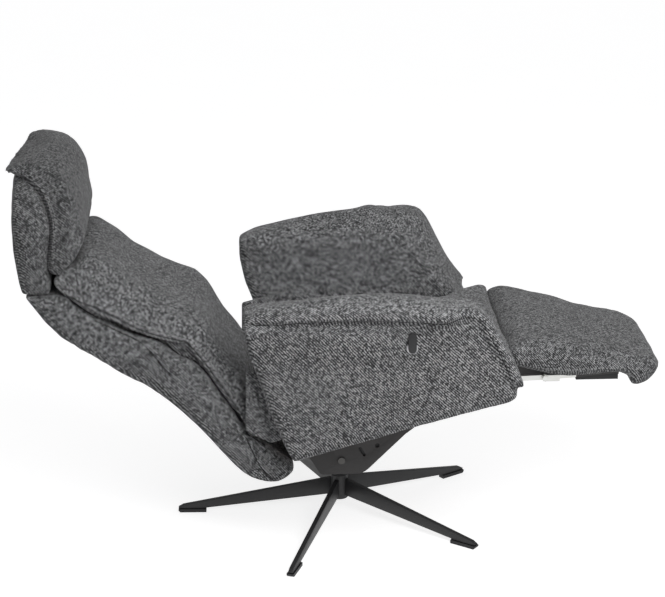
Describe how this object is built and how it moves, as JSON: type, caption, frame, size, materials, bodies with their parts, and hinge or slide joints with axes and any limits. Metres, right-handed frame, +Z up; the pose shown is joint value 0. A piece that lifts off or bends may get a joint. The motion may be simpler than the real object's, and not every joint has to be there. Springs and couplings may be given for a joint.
{
  "type": "star base swivel recliner",
  "caption": "Fabric recliner on a flat-blade star base: it swivels, the back, seat and leg rest move together, and the headrest folds back.",
  "frame": {"origin": "on the floor, on the swivel axis at the centre of the star base, which is also the bottom centre of the chair's box", "axes": "+X towards the foot end, the way the sitter faces; +Y to the sitter's left; +Z up along the swivel axis"},
  "size_m": [1.3891, 0.744, 0.8773],
  "materials": {
    "black_powder_coat": "fine-textured black powder coat on steel",
    "bracket_paint": "satin dark warm grey paint on pressed steel",
    "zinc_plate": "bright zinc plate",
    "chrome_plate": "polished chrome",
    "black_plastic": "matte black plastic",
    "plywood": "raw birch plywood",
    "grey_tweed": "dark grey melange tweed over foam"
  },
  "bodies": {
    "base": {"star_leg_1": "black_powder_coat", "star_leg_2": "black_powder_coat", "star_leg_3": "black_powder_coat", "star_leg_4": "black_powder_coat", "star_leg_5": "black_powder_coat", "foot_glide_1": "black_plastic", "foot_glide_2": "black_plastic", "foot_glide_3": "black_plastic", "foot_glide_4": "black_plastic", "foot_glide_5": "black_plastic", "base_hub": "black_powder_coat", "swivel_bush": "black_plastic"},
    "carrier": {"swivel_spindle": "bracket_paint", "carrier_pan": "bracket_paint", "carrier_side_left": "bracket_paint", "carrier_side_right": "bracket_paint", "tilt_axle": "zinc_plate", "spacer_bolt": "black_powder_coat"},
    "seat": {"seat_rail_left": "black_powder_coat", "seat_rail_right": "black_powder_coat", "guide_pin": "zinc_plate", "gas_spring_anchor": "zinc_plate", "front_cross_tube": "black_powder_coat", "arm_bar_front": "black_powder_coat", "arm_bar_rear": "black_powder_coat", "arm_bolt_front_left": "zinc_plate", "arm_bolt_front_right": "zinc_plate", "arm_bolt_rear_left": "zinc_plate", "arm_bolt_rear_right": "zinc_plate", "back_hinge_bar": "black_powder_coat", "seat_platform": "plywood", "seat_cushion": "grey_tweed", "cam_plate_left": "bracket_paint", "cam_plate_right": "bracket_paint", "leg_rest_axle": "zinc_plate", "gas_spring_cylinder": "black_powder_coat", "arm_panel_left": "grey_tweed", "arm_panel_right": "grey_tweed", "arm_pad_left": "grey_tweed", "arm_pad_right": "grey_tweed", "lever_rosette": "chrome_plate"},
    "back": {"back_shell": "grey_tweed", "back_frame": "black_powder_coat", "back_cushion": "grey_tweed", "headrest_hinge_rod": "zinc_plate"},
    "headrest": {"head_shell": "grey_tweed", "head_bracket": "black_powder_coat", "head_pad": "grey_tweed"},
    "leg_rest": {"leg_rest_arm_left": "black_powder_coat", "leg_rest_arm_right": "black_powder_coat", "leg_rest_board": "black_plastic", "leg_rest_stiffener": "black_powder_coat", "leg_rest_cushion": "grey_tweed", "leg_rest_bracket_left": "zinc_plate", "leg_rest_bracket_right": "zinc_plate"},
    "push_links": {"push_link_left": "zinc_plate", "push_link_right": "zinc_plate"},
    "gas_rod": {"gas_spring_rod": "chrome_plate"},
    "lever": {"release_lever": "black_plastic"}
  },
  "joints": [
    {"name": "swivel", "type": "hinge", "parent": "base", "child": "carrier", "pos_m": [0, 0, 0.1], "axis": [0, 0, 1], "continuous": true},
    {"name": "seat_tilt", "type": "hinge", "parent": "carrier", "child": "seat", "pos_m": [0.19, 0, 0.262], "axis": [0, 1, 0], "range_deg": [0, 8]},
    {"name": "recline", "type": "hinge", "parent": "seat", "child": "back", "pos_m": [-0.19501, 0, 0.32978], "axis": [0, 1, 0], "range_deg": [0, 27]},
    {"name": "headrest_tilt", "type": "hinge", "parent": "back", "child": "headrest", "pos_m": [-0.66742, 0, 0.59653], "axis": [0, 1, 0], "range_deg": [-38, 0]},
    {"name": "leg_rest_lift", "type": "hinge", "parent": "seat", "child": "leg_rest", "pos_m": [0.33801, 0, 0.42504], "axis": [0, 1, 0], "range_deg": [0, 78]},
    {"name": "push_link_swing", "type": "hinge", "parent": "leg_rest", "child": "push_links", "pos_m": [0.43401, 0, 0.37805], "axis": [0, 1, 0], "range_deg": [-69.4, 0]},
    {"name": "gas_rod_slide", "type": "slide", "parent": "seat", "child": "gas_rod", "axis": [-1, 0, 0], "range_m": [0, 0.0265]},
    {"name": "lever_pull", "type": "hinge", "parent": "seat", "child": "lever", "pos_m": [0.129, -0.35, 0.514], "axis": [0, 1, 0], "range_deg": [-25, 0], "stiffness_Nm_per_rad": 0.6}
  ],
  "couplings": [
    {"joint": "seat_tilt", "follows": "recline", "ratio": 0.2962},
    {"joint": "leg_rest_lift", "follows": "recline", "ratio": 2.8888},
    {"joint": "push_link_swing", "follows": "recline", "ratio": -2.57},
    {"joint": "gas_rod_slide", "follows": "recline", "m_per_rad": 0.0559}
  ]
}
